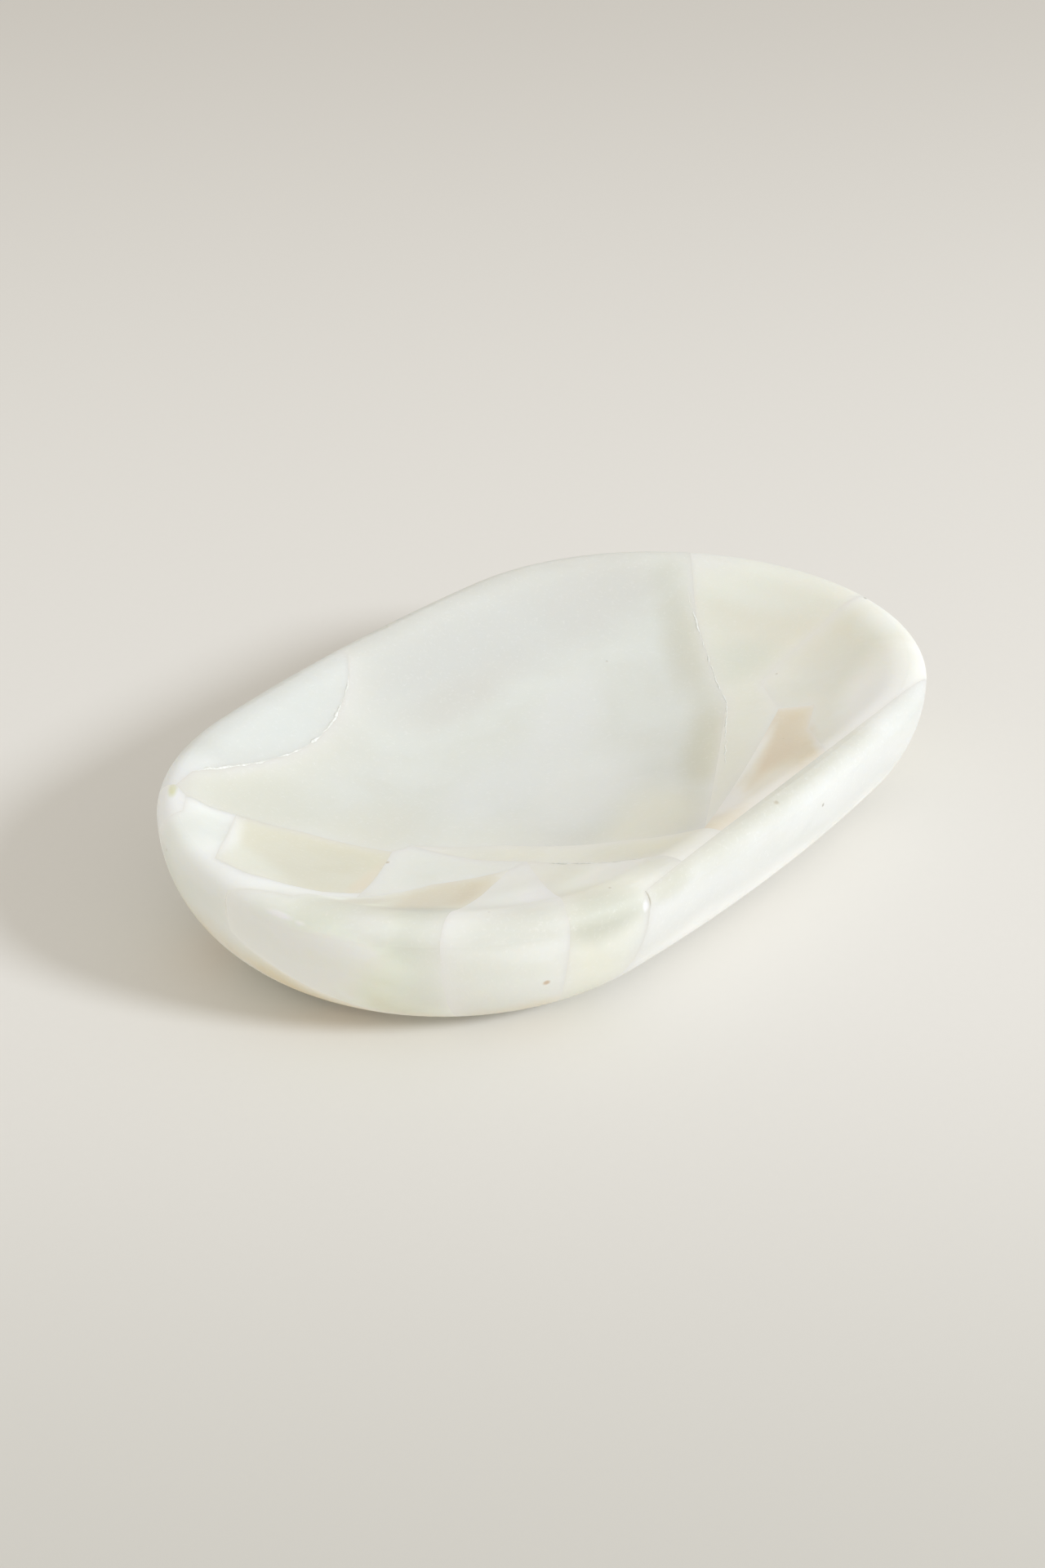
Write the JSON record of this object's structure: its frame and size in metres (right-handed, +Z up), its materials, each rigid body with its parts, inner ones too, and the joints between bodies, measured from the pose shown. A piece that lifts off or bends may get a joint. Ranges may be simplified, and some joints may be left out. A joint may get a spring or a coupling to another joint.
{
  "type": "soap dish",
  "caption": "Oval stone soap dish glued from offcuts of pale onyx marble in white, green, grey and brown, with a shallow polished bowl and small clear feet",
  "frame": {"origin": "middle of the surface the dish stands on", "axes": "X along the length of the oval, Y across it, Z up"},
  "size_m": [0.15, 0.093, 0.0235],
  "materials": {
    "white_stone": "satin polish, slightly translucent",
    "grey_stone": "satin polish, slightly translucent",
    "green_stone": "satin polish, slightly translucent",
    "tan_stone": "satin polish, slightly translucent",
    "brown_stone": "satin polish, slightly translucent",
    "clear_rubber": "clear and glossy"
  },
  "bodies": {
    "root": {"floor_slab": "grey_stone", "floor_strip": "tan_stone", "back_right_stone": "green_stone", "right_end_stone": "tan_stone", "brown_shard": "brown_stone", "near_wall_stone": "white_stone", "front_right_stone": "green_stone", "shield_stone": "white_stone", "front_left_stone": "grey_stone", "white_wedge": "white_stone", "amber_stone": "brown_stone", "left_wall_stone": "white_stone", "left_tip": "green_stone", "back_left_stone": "white_stone", "foot_near_left": "clear_rubber", "foot_near_right": "clear_rubber", "foot_far_left": "clear_rubber", "foot_far_right": "clear_rubber"}
  },
  "joints": []
}
